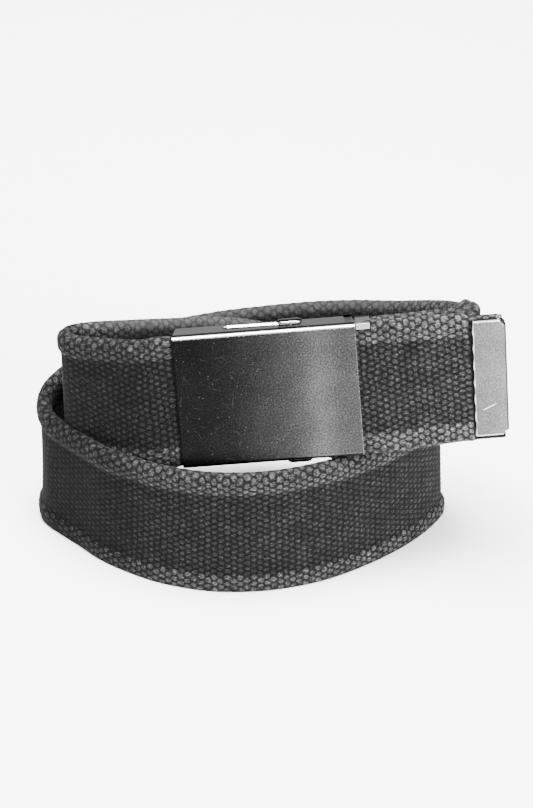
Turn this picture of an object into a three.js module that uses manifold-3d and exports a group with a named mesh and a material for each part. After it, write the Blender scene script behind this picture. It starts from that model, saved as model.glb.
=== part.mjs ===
// A canvas web belt with a flat box buckle, fastened and wound in two turns.
// Units are millimetres, +Z is up, -Y is the side that shows the buckle.
// The lower turn stands on its edge on the table and the upper turn carries the buckle.

import * as THREE from 'three';
import { mergeVertices } from 'three/addons/utils/BufferGeometryUtils.js';
import Module from 'manifold-3d';

// Webbing
const webWidth = 40;
const webThickness = 3;
const webEdgeBevel = 0.7;
const restingEdgePress = 0.3;

// Coil of the belt, seen from above, and the share of its depth at which the buckle stands
const coilHalfLength = 70;
const coilDepth = 70;
const buckleDepthShare = 0.75;
const crossingGap = 2.4;

// Buckle shell
const plateLength = 55.2;
const sheetThickness = 0.9;
const flangeThickness = 0.6;
const flangeDepth = 9.7;
const plateBevel = 0.4;
const buckleX = 0.6;
const buckleLeanDegrees = 17;
const buckleRollDegrees = 4.5;

// Friction rod and the slots that it slides in
const rodDiameter = 3.2;
const rodNeckDiameter = 2.4;
const rodX = 8;
const rodHeadLength = 7.6;
const rodHeadDepth = 3.8;
const rodHeadHeight = 1;
const rodDrop = 0.7;
const slotStartX = -11;
const slotStartBehindFront = 6.6;
const slotPlay = 0.4;

// End clamp on the sewn-in end of the webbing
const clampSheet = 0.6;
const clampLength = 15.5;
const clampEarLength = 4.5;
const clampEarBehindFront = 0.4;
const clampLipHeight = 1.8;
const lugLength = 2;
const lugHeight = 0.8;
const lugFromPlateEnd = 1;

// Metal tip, and how the tail stands where it begins
const tipStart = 62.2;
const tipLength = 10.2;
const tipSheet = 0.6;
const tipHeight = 38.4;
const tipTopCorner = 1.9;
const tipBottomCorner = 1.5;
const tipCrimpDepth = 0.25;
const tipLeanDegrees = 9;
const tipRollDegrees = 2.7;
const tipRise = 1.1;
const tipYawDegrees = 3.5;

// Tight turn of the webbing behind the tip
const turnRadius = 3.5;
const turnBeforeTip = 2.6;

// Clearance between two separate pieces, and what a cutting body reaches past a face
const gap = 0.3;
const cutMargin = 1;

const degrees = Math.PI / 180;
const plateHeight = webWidth + 2 * gap + 2 * flangeThickness;

// Depths behind the front face of the plate, one layer after the other
const tailFront = sheetThickness + gap;
const tailMiddle = tailFront + webThickness / 2;
const tailBack = tailFront + webThickness;
const rodMiddle = tailBack + gap + rodDiameter / 2;
const clampFront = tailBack + gap;
const fixedFront = clampFront + clampSheet + gap;
const fixedMiddle = fixedFront + webThickness / 2;
const clampBackLeaf = fixedFront + webThickness + gap;

// The buckle's own frame: x along the strap, y away from the viewer, z up the plate.
// Its origin is the middle of the plate's front face. The plate's lower right corner
// clears the lower turn's top edge by the crossing gap.
const buckleRotation = new THREE.Euler(-buckleLeanDegrees * degrees, -buckleRollDegrees * degrees, 0);
const cornerDrop = new THREE.Vector3(plateLength / 2, 0, -plateHeight / 2).applyEuler(buckleRotation).z;
const buckleOrigin = new THREE.Vector3(
  buckleX, -coilDepth * buckleDepthShare, webWidth + crossingGap - cornerDrop,
);
const buckleUp = new THREE.Vector3(0, 0, 1).applyEuler(buckleRotation);

function inBuckle(x, y) {
  return new THREE.Vector3(x, y, 0).applyEuler(buckleRotation).add(buckleOrigin);
}

// The tip's own frame: its origin is the middle of the webbing where the tip begins.
// The tail twists a little on its way there, so the tip stands more upright.
const tipRotation = new THREE.Euler(
  -tipLeanDegrees * degrees, -tipRollDegrees * degrees, tipYawDegrees * degrees, 'ZXY',
);
const tipOrigin = inBuckle(tipStart, tailMiddle).add(new THREE.Vector3(0, 0, tipRise));
const tipUp = new THREE.Vector3(0, 0, 1).applyEuler(tipRotation);

// Route of the webbing's middle line. x and y are shares of the coil's half length and
// depth, rise is the height of the lower edge as a share of the webbing's width, and the
// two leans are degrees by which the upper edge leans to +X and to +Y.
const outerBackTurn = [
  { x: 0.870, y: -0.450, rise: 0.930, leanX: 0, leanY: 6 },
  { x: 0.806, y: -0.325, rise: 0.822, leanX: 0, leanY: 3 },
  { x: 0.630, y: -0.180, rise: 0.680, leanX: 0, leanY: 0 },
  { x: 0.414, y: -0.100, rise: 0.605, leanX: 0, leanY: 0 },
  { x: 0.217, y: -0.071, rise: 0.560, leanX: 0, leanY: 0 },
  { x: 0.000, y: -0.063, rise: 0.510, leanX: 0, leanY: 0 },
  { x: -0.200, y: -0.064, rise: 0.460, leanX: 0, leanY: 0 },
  { x: -0.420, y: -0.083, rise: 0.390, leanX: 0, leanY: 0 },
  { x: -0.650, y: -0.140, rise: 0.290, leanX: 0, leanY: 0 },
  { x: -0.847, y: -0.230, rise: 0.195, leanX: -1, leanY: 0 },
  { x: -0.952, y: -0.322, rise: 0.110, leanX: 0, leanY: 0 },
];

const lowerFrontTurn = [
  { x: -0.982, y: -0.410, rise: 0.050, leanX: 1, leanY: 0 },
  { x: -0.962, y: -0.487, rise: 0.015, leanX: 2, leanY: 0 },
  { x: -0.898, y: -0.560, rise: 0.000, leanX: 2, leanY: 0 },
  { x: -0.803, y: -0.655, rise: 0.000, leanX: 1, leanY: 1 },
  { x: -0.711, y: -0.747, rise: 0.000, leanX: 1, leanY: 2 },
  { x: -0.589, y: -0.826, rise: 0.000, leanX: 1, leanY: 4 },
  { x: -0.450, y: -0.895, rise: 0.000, leanX: 1, leanY: 5 },
  { x: -0.240, y: -0.948, rise: 0.000, leanX: 0, leanY: 6 },
  { x: 0.000, y: -0.942, rise: 0.000, leanX: 0, leanY: 6 },
  { x: 0.220, y: -0.880, rise: 0.000, leanX: 0, leanY: 6 },
  { x: 0.420, y: -0.775, rise: 0.000, leanX: 0, leanY: 4 },
  { x: 0.595, y: -0.640, rise: 0.000, leanX: -1, leanY: 2 },
  { x: 0.715, y: -0.500, rise: 0.000, leanX: -2, leanY: 0 },
  { x: 0.760, y: -0.400, rise: 0.000, leanX: -2, leanY: 0 },
];

const innerBackTurn = [
  { x: 0.728, y: -0.330, rise: 0.020, leanX: -1, leanY: 0 },
  { x: 0.640, y: -0.272, rise: 0.070, leanX: 0, leanY: 0 },
  { x: 0.500, y: -0.219, rise: 0.160, leanX: 0, leanY: 0 },
  { x: 0.300, y: -0.173, rise: 0.270, leanX: 0, leanY: 0 },
  { x: 0.100, y: -0.138, rise: 0.370, leanX: 0, leanY: 0 },
  { x: -0.100, y: -0.133, rise: 0.460, leanX: 0, leanY: 0 },
  { x: -0.285, y: -0.175, rise: 0.530, leanX: 0, leanY: 0 },
  { x: -0.440, y: -0.243, rise: 0.590, leanX: 0, leanY: 1 },
  { x: -0.620, y: -0.331, rise: 0.668, leanX: 0, leanY: 3 },
  { x: -0.783, y: -0.415, rise: 0.742, leanX: -1, leanY: 4 },
];

const leftBend = [
  { x: -0.853, y: -0.462, rise: 0.772, leanX: -1, leanY: 4 },
  { x: -0.874, y: -0.508, rise: 0.785, leanX: -1, leanY: 4 },
  { x: -0.840, y: -0.558, rise: 0.800, leanX: -1, leanY: 5 },
  { x: -0.762, y: -0.604, rise: 0.825, leanX: -1, leanY: 6 },
  { x: -0.650, y: -0.664, rise: 0.868, leanX: 0, leanY: 9 },
  { x: -0.520, y: -0.713, rise: 0.912, leanX: 0, leanY: 13 },
];

// Share of the route's slope that the upright direction follows. Webbing shears a little
// in its plane where it climbs.
const slopeFollow = 0.5;

// The whole coil sits lower by the amount that its resting edge is pressed flat
function tableRow(row) {
  const up = new THREE.Vector3(Math.tan(row.leanX * degrees), Math.tan(row.leanY * degrees), 1);
  up.normalize();
  const height = webWidth * row.rise + (webWidth / 2) * up.z - restingEdgePress;
  return {
    middle: new THREE.Vector3(row.x * coilHalfLength, row.y * coilDepth, height),
    up,
  };
}

function buckleRow(x, y) {
  return { middle: inBuckle(x, y), up: buckleUp.clone() };
}

function tipRow(x, y, down = 0) {
  const middle = new THREE.Vector3(x, y, -down).applyEuler(tipRotation).add(tipOrigin);
  return { middle, up: tipUp.clone() };
}

// The clamped end runs to the right behind the tail and turns back tightly. The places
// on the turn are shares of its radius.
const straightLead = 2;
const straightEndX = plateLength / 2 + clampEarLength + straightLead;
const layerSpacing = fixedMiddle - tailMiddle;
const fixedEndX = plateLength / 2 - clampLength + gap;
const turnPlaces = [
  { x: 0.00, y: 0.00, down: 0.00 },
  { x: 0.72, y: 0.30, down: 0.05 },
  { x: 1.02, y: 1.00, down: 0.20 },
  { x: 0.85, y: 1.75, down: 0.45 },
];
const clampedEnd = [
  buckleRow(fixedEndX, fixedMiddle),
  buckleRow(plateLength / 2, fixedMiddle),
  buckleRow(straightEndX, fixedMiddle),
  ...turnPlaces.map((place) => tipRow(
    -turnBeforeTip + place.x * turnRadius,
    layerSpacing + place.y * turnRadius,
    place.down * turnRadius,
  )),
];

// The upper turn comes straight through the buckle and ends in the metal tip
const tailEnd = tipLength - tipSheet - gap;
const straightTail = [
  buckleRow(-plateLength / 2 - straightLead, tailMiddle),
  buckleRow(-plateLength / 2, tailMiddle),
  buckleRow(0, tailMiddle),
  buckleRow(plateLength / 2, tailMiddle),
  buckleRow(straightEndX, tailMiddle),
  tipRow(0, 0),
  tipRow(tailEnd, 0),
];

const route = [
  ...clampedEnd,
  ...outerBackTurn.map(tableRow),
  ...lowerFrontTurn.map(tableRow),
  ...innerBackTurn.map(tableRow),
  ...leftBend.map(tableRow),
  ...straightTail,
];

// Cross-section of the webbing, going round it: across is along the thickness
function webSection() {
  const halfThickness = webThickness / 2;
  const halfWidth = webWidth / 2;
  const inset = webEdgeBevel;
  return [
    { across: -halfThickness + inset, along: -halfWidth },
    { across: halfThickness - inset, along: -halfWidth },
    { across: halfThickness, along: -halfWidth + inset },
    { across: halfThickness, along: halfWidth - inset },
    { across: halfThickness - inset, along: halfWidth },
    { across: -halfThickness + inset, along: halfWidth },
    { across: -halfThickness, along: halfWidth - inset },
    { across: -halfThickness, along: -halfWidth + inset },
  ];
}

// Places along the route where a section stands, with its upright and sideways directions
function routeFrames(stepsPerRow) {
  const curve = new THREE.CatmullRomCurve3(route.map((row) => row.middle), false, 'centripetal');
  const intervals = route.length - 1;
  const frames = [];
  for (let step = 0; step <= intervals * stepsPerRow; step += 1) {
    const place = step / stepsPerRow;
    const index = Math.min(Math.floor(place), intervals - 1);
    const share = place - index;
    const tangent = curve.getTangent(place / intervals);
    const up = route[index].up.clone().lerp(route[index + 1].up, share);
    up.addScaledVector(tangent, -slopeFollow * up.dot(tangent)).normalize();
    const side = new THREE.Vector3().crossVectors(up, tangent).normalize();
    frames.push({ middle: curve.getPoint(place / intervals), up, side });
  }
  return frames;
}

// A closed body through rings of equal point counts, with flat ends
function loftRings(rings) {
  const ringSize = rings[0].length;
  const positions = rings.flat().flatMap((point) => [point.x, point.y, point.z]);
  const faces = [];
  for (let ring = 0; ring < rings.length - 1; ring += 1) {
    for (let corner = 0; corner < ringSize; corner += 1) {
      const next = (corner + 1) % ringSize;
      const a = ring * ringSize + corner;
      const b = ring * ringSize + next;
      faces.push([a, b, a + ringSize]);
      faces.push([b, b + ringSize, a + ringSize]);
    }
  }
  const last = (rings.length - 1) * ringSize;
  for (let corner = 1; corner < ringSize - 1; corner += 1) {
    faces.push([0, corner + 1, corner]);
    faces.push([last, last + corner, last + corner + 1]);
  }
  const geometry = new THREE.BufferGeometry();
  geometry.setAttribute('position', new THREE.Float32BufferAttribute(positions, 3));
  geometry.setIndex(faces.flat());
  return geometry;
}

// The lower turn stands on the table, where the webbing's edge is pressed flat
const sectionStepsPerRow = 4;
const tableLevel = 0;

function webbingGeometry() {
  const section = webSection();
  const rings = routeFrames(sectionStepsPerRow).map((frame) => section.map((corner) => {
    const point = frame.middle.clone();
    point.addScaledVector(frame.side, corner.across);
    point.addScaledVector(frame.up, corner.along);
    point.z = Math.max(point.z, tableLevel);
    return point;
  }));
  return loftRings(rings);
}

const wasm = await Module();
wasm.setup();

function solidOf(geometry) {
  const bare = geometry.clone();
  bare.deleteAttribute('normal');
  bare.deleteAttribute('uv');
  const merged = mergeVertices(bare, 1e-4);
  return new wasm.Manifold(new wasm.Mesh({
    numProp: 3,
    vertProperties: new Float32Array(merged.attributes.position.array),
    triVerts: new Uint32Array(merged.index.array),
  }));
}

function geometryOf(solid) {
  const mesh = solid.getMesh();
  const geometry = new THREE.BufferGeometry();
  geometry.setAttribute('position', new THREE.BufferAttribute(mesh.vertProperties, 3));
  geometry.setIndex(new THREE.BufferAttribute(mesh.triVerts, 1));
  return geometry;
}

function boxSolid(x0, x1, y0, y1, z0, z1) {
  const box = new THREE.BoxGeometry(x1 - x0, y1 - y0, z1 - z0);
  box.translate((x0 + x1) / 2, (y0 + y1) / 2, (z0 + z1) / 2);
  return solidOf(box);
}

// An outline drawn in x and y, raised from z0 to z1
function raisedSolid(shape, z0, z1, curveSegments = 6) {
  const body = new THREE.ExtrudeGeometry(shape, { depth: z1 - z0, bevelEnabled: false, curveSegments });
  body.translate(0, 0, z0);
  return solidOf(body);
}

// A strip with round ends from one point to another
function roundEndedShape(x0, y0, x1, y1, width) {
  const angle = Math.atan2(y1 - y0, x1 - x0);
  const radius = width / 2;
  const shape = new THREE.Shape();
  shape.absarc(x0, y0, radius, angle + Math.PI / 2, angle + 1.5 * Math.PI, false);
  shape.absarc(x1, y1, radius, angle - Math.PI / 2, angle + Math.PI / 2, false);
  shape.closePath();
  return shape;
}

// Front sheet and both flanges, bent from one sheet
function shellProfile() {
  const outer = plateHeight / 2;
  const inner = outer - flangeThickness;
  const shape = new THREE.Shape();
  shape.moveTo(0, -outer + plateBevel);
  shape.lineTo(plateBevel, -outer);
  shape.lineTo(flangeDepth, -outer);
  shape.lineTo(flangeDepth, -inner);
  shape.lineTo(sheetThickness, -inner);
  shape.lineTo(sheetThickness, inner);
  shape.lineTo(flangeDepth, inner);
  shape.lineTo(flangeDepth, outer);
  shape.lineTo(plateBevel, outer);
  shape.lineTo(0, outer - plateBevel);
  shape.closePath();
  return shape;
}

function buckleShellGeometry() {
  const bent = new THREE.ExtrudeGeometry(shellProfile(), { depth: plateLength, bevelEnabled: false });
  bent.applyMatrix4(new THREE.Matrix4().makeBasis(
    new THREE.Vector3(0, 1, 0),
    new THREE.Vector3(0, 0, 1),
    new THREE.Vector3(1, 0, 0),
  ));
  bent.translate(-plateLength / 2, 0, 0);
  const reach = plateHeight / 2 + cutMargin;
  const slot = roundEndedShape(
    slotStartX, slotStartBehindFront, rodX, rodMiddle, rodNeckDiameter + 2 * slotPlay,
  );
  const notchX = plateLength / 2 - lugFromPlateEnd;
  const notch = boxSolid(
    notchX - lugLength - gap, notchX + gap,
    clampBackLeaf - gap, flangeDepth + cutMargin,
    -reach, reach,
  );
  return geometryOf(solidOf(bent).subtract(raisedSolid(slot, -reach, reach)).subtract(notch));
}

// The rod hangs on its upper head, so its lower head stands off the lower flange
function rodGeometry() {
  const upperHeadBottom = plateHeight / 2 + gap;
  const lowerHeadTop = -plateHeight / 2 - gap - rodDrop;
  const barReach = plateHeight / 2 - flangeThickness - gap;
  const bar = new THREE.CylinderGeometry(rodDiameter / 2, rodDiameter / 2, 2 * barReach, 16);
  const neckLength = upperHeadBottom - lowerHeadTop + rodHeadHeight;
  const neck = new THREE.CylinderGeometry(rodNeckDiameter / 2, rodNeckDiameter / 2, neckLength, 16);
  bar.rotateX(Math.PI / 2);
  neck.rotateX(Math.PI / 2);
  bar.translate(rodX, rodMiddle, 0);
  neck.translate(rodX, rodMiddle, (upperHeadBottom + lowerHeadTop) / 2);
  const halfHead = (rodHeadLength - rodHeadDepth) / 2;
  const headShape = roundEndedShape(
    rodX - halfHead, rodMiddle, rodX + halfHead, rodMiddle, rodHeadDepth,
  );
  const upperHead = raisedSolid(headShape, upperHeadBottom, upperHeadBottom + rodHeadHeight);
  const lowerHead = raisedSolid(headShape, lowerHeadTop - rodHeadHeight, lowerHeadTop);
  return geometryOf(solidOf(bar).add(solidOf(neck)).add(upperHead).add(lowerHead));
}

// Two leaves hold the fixed end. Past the plate an ear above and an ear below the webbing
// join them. The upper ear also reaches over the tail and ends in a lip in front of it. A
// lug on the back leaf sits in a notch of each flange.
function clampGeometry() {
  const start = plateLength / 2 - clampLength;
  const end = plateLength / 2 + clampEarLength;
  const back = clampBackLeaf + clampSheet;
  const leafReach = webWidth / 2;
  const pocketReach = leafReach + gap;
  const earReach = pocketReach + clampSheet;
  const lugEnd = plateLength / 2 - lugFromPlateEnd;
  const lugReach = plateHeight / 2 + lugHeight;
  const leaves = boxSolid(start, end, clampFront, back, -leafReach, leafReach);
  const earStart = plateLength / 2 + gap;
  const lowerEar = boxSolid(earStart, end, clampFront, back, -earReach, 0);
  const upperEar = boxSolid(earStart, end, clampEarBehindFront, back, 0, earReach);
  const lip = boxSolid(
    earStart, end,
    clampEarBehindFront, clampEarBehindFront + clampSheet,
    earReach - clampLipHeight, earReach,
  );
  const lugs = boxSolid(lugEnd - lugLength, lugEnd, clampBackLeaf, back, -lugReach, lugReach);
  const tailPassage = boxSolid(
    start - cutMargin, end + cutMargin,
    clampEarBehindFront - cutMargin, clampFront,
    -pocketReach, pocketReach,
  );
  const pocket = boxSolid(
    start - cutMargin, end + cutMargin,
    clampFront + clampSheet, clampBackLeaf,
    -pocketReach, pocketReach,
  );
  const body = leaves.add(lowerEar).add(upperEar).add(lugs).subtract(tailPassage);
  return geometryOf(body.subtract(pocket).add(lip));
}

// The tip's outline seen from the front, with its two outer corners cut off
function tipShape() {
  const half = tipHeight / 2;
  const shape = new THREE.Shape();
  shape.moveTo(0, -half);
  shape.lineTo(tipLength - tipBottomCorner, -half);
  shape.lineTo(tipLength, -half + tipBottomCorner);
  shape.lineTo(tipLength, half - tipTopCorner);
  shape.lineTo(tipLength - tipTopCorner, half);
  shape.lineTo(0, half);
  shape.closePath();
  return shape;
}

function tipGeometry() {
  const back = webThickness / 2 + gap + tipSheet;
  const front = -back;
  const folded = new THREE.ExtrudeGeometry(tipShape(), { depth: back - front, bevelEnabled: false });
  folded.rotateX(Math.PI / 2);
  folded.translate(0, back, 0);
  const pocket = boxSolid(
    -cutMargin, tipLength - tipSheet,
    front + tipSheet, back - tipSheet,
    -tipHeight, tipHeight,
  );
  const crimpWidth = 2 * tipSheet;
  const crimp = boxSolid(
    tipSheet, tipSheet + crimpWidth,
    front - cutMargin, front + tipCrimpDepth,
    -tipHeight, tipHeight,
  );
  return geometryOf(solidOf(folded).subtract(pocket).subtract(crimp));
}

const finishes = {
  webbing: { color: 0x2b2b2b, roughness: 0.95, metalness: 0 },
  gunmetal: { color: 0x4a4a4a, roughness: 0.42, metalness: 1 },
  darkSteel: { color: 0x333333, roughness: 0.4, metalness: 1 },
  paleSteel: { color: 0xa8a8a8, roughness: 0.4, metalness: 1 },
};

function namedMesh(name, geometry, finish) {
  const mesh = new THREE.Mesh(geometry, new THREE.MeshStandardMaterial(finish));
  mesh.name = name;
  return mesh;
}

const buckle = new THREE.Group();
buckle.position.copy(buckleOrigin);
buckle.rotation.copy(buckleRotation);
buckle.add(namedMesh('buckle_plate', buckleShellGeometry(), finishes.gunmetal));
buckle.add(namedMesh('friction_rod', rodGeometry(), finishes.darkSteel));
buckle.add(namedMesh('end_clamp', clampGeometry(), finishes.darkSteel));

const tip = namedMesh('tip_clip', tipGeometry(), finishes.paleSteel);
tip.position.copy(tipOrigin);
tip.rotation.copy(tipRotation);

const belt = new THREE.Group();
belt.add(namedMesh('webbing', webbingGeometry(), finishes.webbing));
belt.add(buckle);
belt.add(tip);

// The row's origin is under the middle of the belt, on the table
const extent = new THREE.Box3().setFromObject(belt, true);
const middle = extent.getCenter(new THREE.Vector3());
belt.position.set(-middle.x, -middle.y, -extent.min.z);

export default belt;
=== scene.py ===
# %% [markdown]
# # A woven belt with a box buckle
# The belt is fastened and wound in a coil. The lower turn stands on its edge on the
# table, and the upper turn carries the buckle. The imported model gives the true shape
# and place of each piece. This file builds the looks round it, in metres.

# %% Load the fixed frame
import math

import bmesh
import bpy
import numpy as np
from mathutils import Matrix, Vector


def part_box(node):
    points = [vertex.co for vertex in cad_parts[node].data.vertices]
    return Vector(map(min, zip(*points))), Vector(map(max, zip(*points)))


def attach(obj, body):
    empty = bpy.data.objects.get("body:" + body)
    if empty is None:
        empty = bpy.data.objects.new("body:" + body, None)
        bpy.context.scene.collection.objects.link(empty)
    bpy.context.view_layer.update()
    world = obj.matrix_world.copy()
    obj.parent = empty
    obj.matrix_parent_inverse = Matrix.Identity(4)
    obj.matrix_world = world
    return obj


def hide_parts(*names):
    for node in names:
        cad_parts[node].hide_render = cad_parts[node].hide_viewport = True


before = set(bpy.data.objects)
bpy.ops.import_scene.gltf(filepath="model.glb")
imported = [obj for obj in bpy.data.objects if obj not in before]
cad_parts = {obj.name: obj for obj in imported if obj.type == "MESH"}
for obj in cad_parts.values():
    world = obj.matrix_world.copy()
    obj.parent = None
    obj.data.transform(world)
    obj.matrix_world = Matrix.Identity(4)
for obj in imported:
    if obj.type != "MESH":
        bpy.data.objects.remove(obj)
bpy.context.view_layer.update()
mm = 0.001
print("nodes:", ", ".join(sorted(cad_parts)))

# %% [markdown]
# ## The belt's sizes
# These are the real sizes of the pieces. Everything below takes its place from them,
# so the strap runs through the buckle and into the metal tip without any fitting.

# %% Sizes of the webbing, the buckle and the tip
web_width = 40 * mm
web_thickness = 3 * mm
web_edge_bevel = 0.7 * mm
resting_edge_press = 0.3 * mm
coil_half_length = 70 * mm
coil_depth = 70 * mm
buckle_depth_share = 0.75
crossing_gap = 2.4 * mm

plate_length = 55.2 * mm
sheet_thickness = 0.9 * mm
flange_thickness = 0.6 * mm
buckle_x = 0.6 * mm
buckle_lean = math.radians(17)
buckle_roll = math.radians(4.5)

rod_diameter = 3.2 * mm
clamp_sheet = 0.6 * mm
clamp_length = 15.5 * mm
clamp_ear_length = 4.5 * mm

tip_start = 62.2 * mm
tip_length = 10.2 * mm
tip_sheet = 0.6 * mm
tip_height = 38.4 * mm
tip_top_corner = 1.9 * mm
tip_bottom_corner = 1.5 * mm
tip_lean = math.radians(9)
tip_roll = math.radians(2.7)
tip_rise = 1.1 * mm
tip_yaw = math.radians(3.5)

turn_radius = 3.5 * mm
turn_before_tip = 2.6 * mm
gap = 0.3 * mm
straight_lead = 2 * mm

plate_height = web_width + 2 * gap + 2 * flange_thickness
tail_middle = sheet_thickness + gap + web_thickness / 2
layer_spacing = web_thickness + clamp_sheet + 2 * gap
fixed_middle = tail_middle + layer_spacing
print("plate height in mm:", round(plate_height / mm, 2))

# %% [markdown]
# ## Where the buckle and the tip stand
# The buckle leans back and rolls a little, as the strap that carries it does. A piece
# of the buckle is drawn in the buckle's own frame: x along the strap, y away from the
# viewer and z up the plate. The tip has a frame of its own, because the tail twists.

# %% Frames of the buckle and the tip, before the belt is centred
buckle_turn = Matrix.Rotation(-buckle_lean, 4, "X") @ Matrix.Rotation(-buckle_roll, 4, "Y")
corner_drop = (buckle_turn @ Vector((plate_length / 2, 0, -plate_height / 2))).z
buckle_origin = Vector((
    buckle_x,
    -coil_depth * buckle_depth_share,
    web_width + crossing_gap - corner_drop,
))
buckle_place = Matrix.Translation(buckle_origin) @ buckle_turn

tip_turn = (
    Matrix.Rotation(tip_yaw, 4, "Z")
    @ Matrix.Rotation(-tip_lean, 4, "X")
    @ Matrix.Rotation(-tip_roll, 4, "Y")
)
tip_origin = buckle_place @ Vector((tip_start, tail_middle, 0)) + Vector((0, 0, tip_rise))
tip_place = Matrix.Translation(tip_origin) @ tip_turn
print("buckle origin in mm:", [round(c / mm, 1) for c in buckle_origin])

# %% [markdown]
# ## The route of the webbing
# A strap is not a tube: it has a width that stands nearly upright and a thin edge. So
# each row of the route gives the strap's middle and the direction of its width. x and
# y are shares of the coil's half length and depth, rise is the height of the lower
# edge as a share of the width, and the leans are degrees to +X and to +Y. A curve
# object with a bevel would twist by itself, so the section is carried along in code.

# %% Rows of the coil
outer_back_turn = (
    # x, y, rise, lean x, lean y
    (0.870, -0.450, 0.930, 0, 6),
    (0.806, -0.325, 0.822, 0, 3),
    (0.630, -0.180, 0.680, 0, 0),
    (0.414, -0.100, 0.605, 0, 0),
    (0.217, -0.071, 0.560, 0, 0),
    (0.000, -0.063, 0.510, 0, 0),
    (-0.200, -0.064, 0.460, 0, 0),
    (-0.420, -0.083, 0.390, 0, 0),
    (-0.650, -0.140, 0.290, 0, 0),
    (-0.847, -0.230, 0.195, -1, 0),
    (-0.952, -0.322, 0.110, 0, 0),
)
lower_front_turn = (
    (-0.982, -0.410, 0.050, 1, 0),
    (-0.962, -0.487, 0.015, 2, 0),
    (-0.898, -0.560, 0.000, 2, 0),
    (-0.803, -0.655, 0.000, 1, 1),
    (-0.711, -0.747, 0.000, 1, 2),
    (-0.589, -0.826, 0.000, 1, 4),
    (-0.450, -0.895, 0.000, 1, 5),
    (-0.240, -0.948, 0.000, 0, 6),
    (0.000, -0.942, 0.000, 0, 6),
    (0.220, -0.880, 0.000, 0, 6),
    (0.420, -0.775, 0.000, 0, 4),
    (0.595, -0.640, 0.000, -1, 2),
    (0.715, -0.500, 0.000, -2, 0),
    (0.760, -0.400, 0.000, -2, 0),
)
inner_back_turn = (
    (0.728, -0.330, 0.020, -1, 0),
    (0.640, -0.272, 0.070, 0, 0),
    (0.500, -0.219, 0.160, 0, 0),
    (0.300, -0.173, 0.270, 0, 0),
    (0.100, -0.138, 0.370, 0, 0),
    (-0.100, -0.133, 0.460, 0, 0),
    (-0.285, -0.175, 0.530, 0, 0),
    (-0.440, -0.243, 0.590, 0, 1),
    (-0.620, -0.331, 0.668, 0, 3),
    (-0.783, -0.415, 0.742, -1, 4),
)
left_bend = (
    (-0.853, -0.462, 0.772, -1, 4),
    (-0.874, -0.508, 0.785, -1, 4),
    (-0.840, -0.558, 0.800, -1, 5),
    (-0.762, -0.604, 0.825, -1, 6),
    (-0.650, -0.664, 0.868, 0, 9),
    (-0.520, -0.713, 0.912, 0, 13),
)
turn_places = (
    # x, y and down as shares of the turn's radius
    (0.00, 0.00, 0.00),
    (0.72, 0.30, 0.05),
    (1.02, 1.00, 0.20),
    (0.85, 1.75, 0.45),
)
coil_rows = (*outer_back_turn, *lower_front_turn, *inner_back_turn, *left_bend)
print("rows of the coil:", len(coil_rows))

# %% [markdown]
# The coil's rows are given on the table. The rows inside the buckle and the tip come
# from their frames, so the strap runs straight where metal holds it. The tight turn
# behind the tip is hidden in the photograph. It is as narrow as folded webbing allows.

# %% The whole route


def table_row(row):
    """Middle and upright direction of the strap at one row of the coil."""
    x, y, rise, lean_x, lean_y = row
    up = Vector((math.tan(math.radians(lean_x)), math.tan(math.radians(lean_y)), 1))
    up.normalize()
    height = web_width * rise + web_width / 2 * up.z - resting_edge_press
    return Vector((x * coil_half_length, y * coil_depth, height)), up


def buckle_row(x, y):
    """The same for a place in the buckle's frame."""
    return buckle_place @ Vector((x, y, 0)), buckle_turn @ Vector((0, 0, 1))


def tip_row(x, y, down=0.0):
    """The same for a place in the tip's frame."""
    return tip_place @ Vector((x, y, -down)), tip_turn @ Vector((0, 0, 1))


straight_end = plate_length / 2 + clamp_ear_length + straight_lead
fixed_start = plate_length / 2 - clamp_length + gap
tail_end = tip_length - tip_sheet - gap
tight_turn = [
    tip_row(
        x * turn_radius - turn_before_tip,
        y * turn_radius + layer_spacing,
        down * turn_radius,
    )
    for x, y, down in turn_places
]
route = [
    buckle_row(fixed_start, fixed_middle),
    buckle_row(plate_length / 2, fixed_middle),
    buckle_row(straight_end, fixed_middle),
    *tight_turn,
    *map(table_row, coil_rows),
    buckle_row(-plate_length / 2 - straight_lead, tail_middle),
    buckle_row(-plate_length / 2, tail_middle),
    buckle_row(0, tail_middle),
    buckle_row(plate_length / 2, tail_middle),
    buckle_row(straight_end, tail_middle),
    tip_row(0, 0),
    tip_row(tail_end, 0),
]
print("rows on the route:", len(route))

# %% [markdown]
# ## A smooth line through the rows
# The rows are joined with a centripetal Catmull-Rom spline, which passes through each
# row and does not overshoot where rows stand close together. The upright direction
# follows half of the slope, as webbing shears a little in its plane where it climbs.

# %% Spline and directions
row_middles = np.array([middle for middle, up in route])
row_ups = np.array([up for middle, up in route])
slope_follow = 0.5


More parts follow.
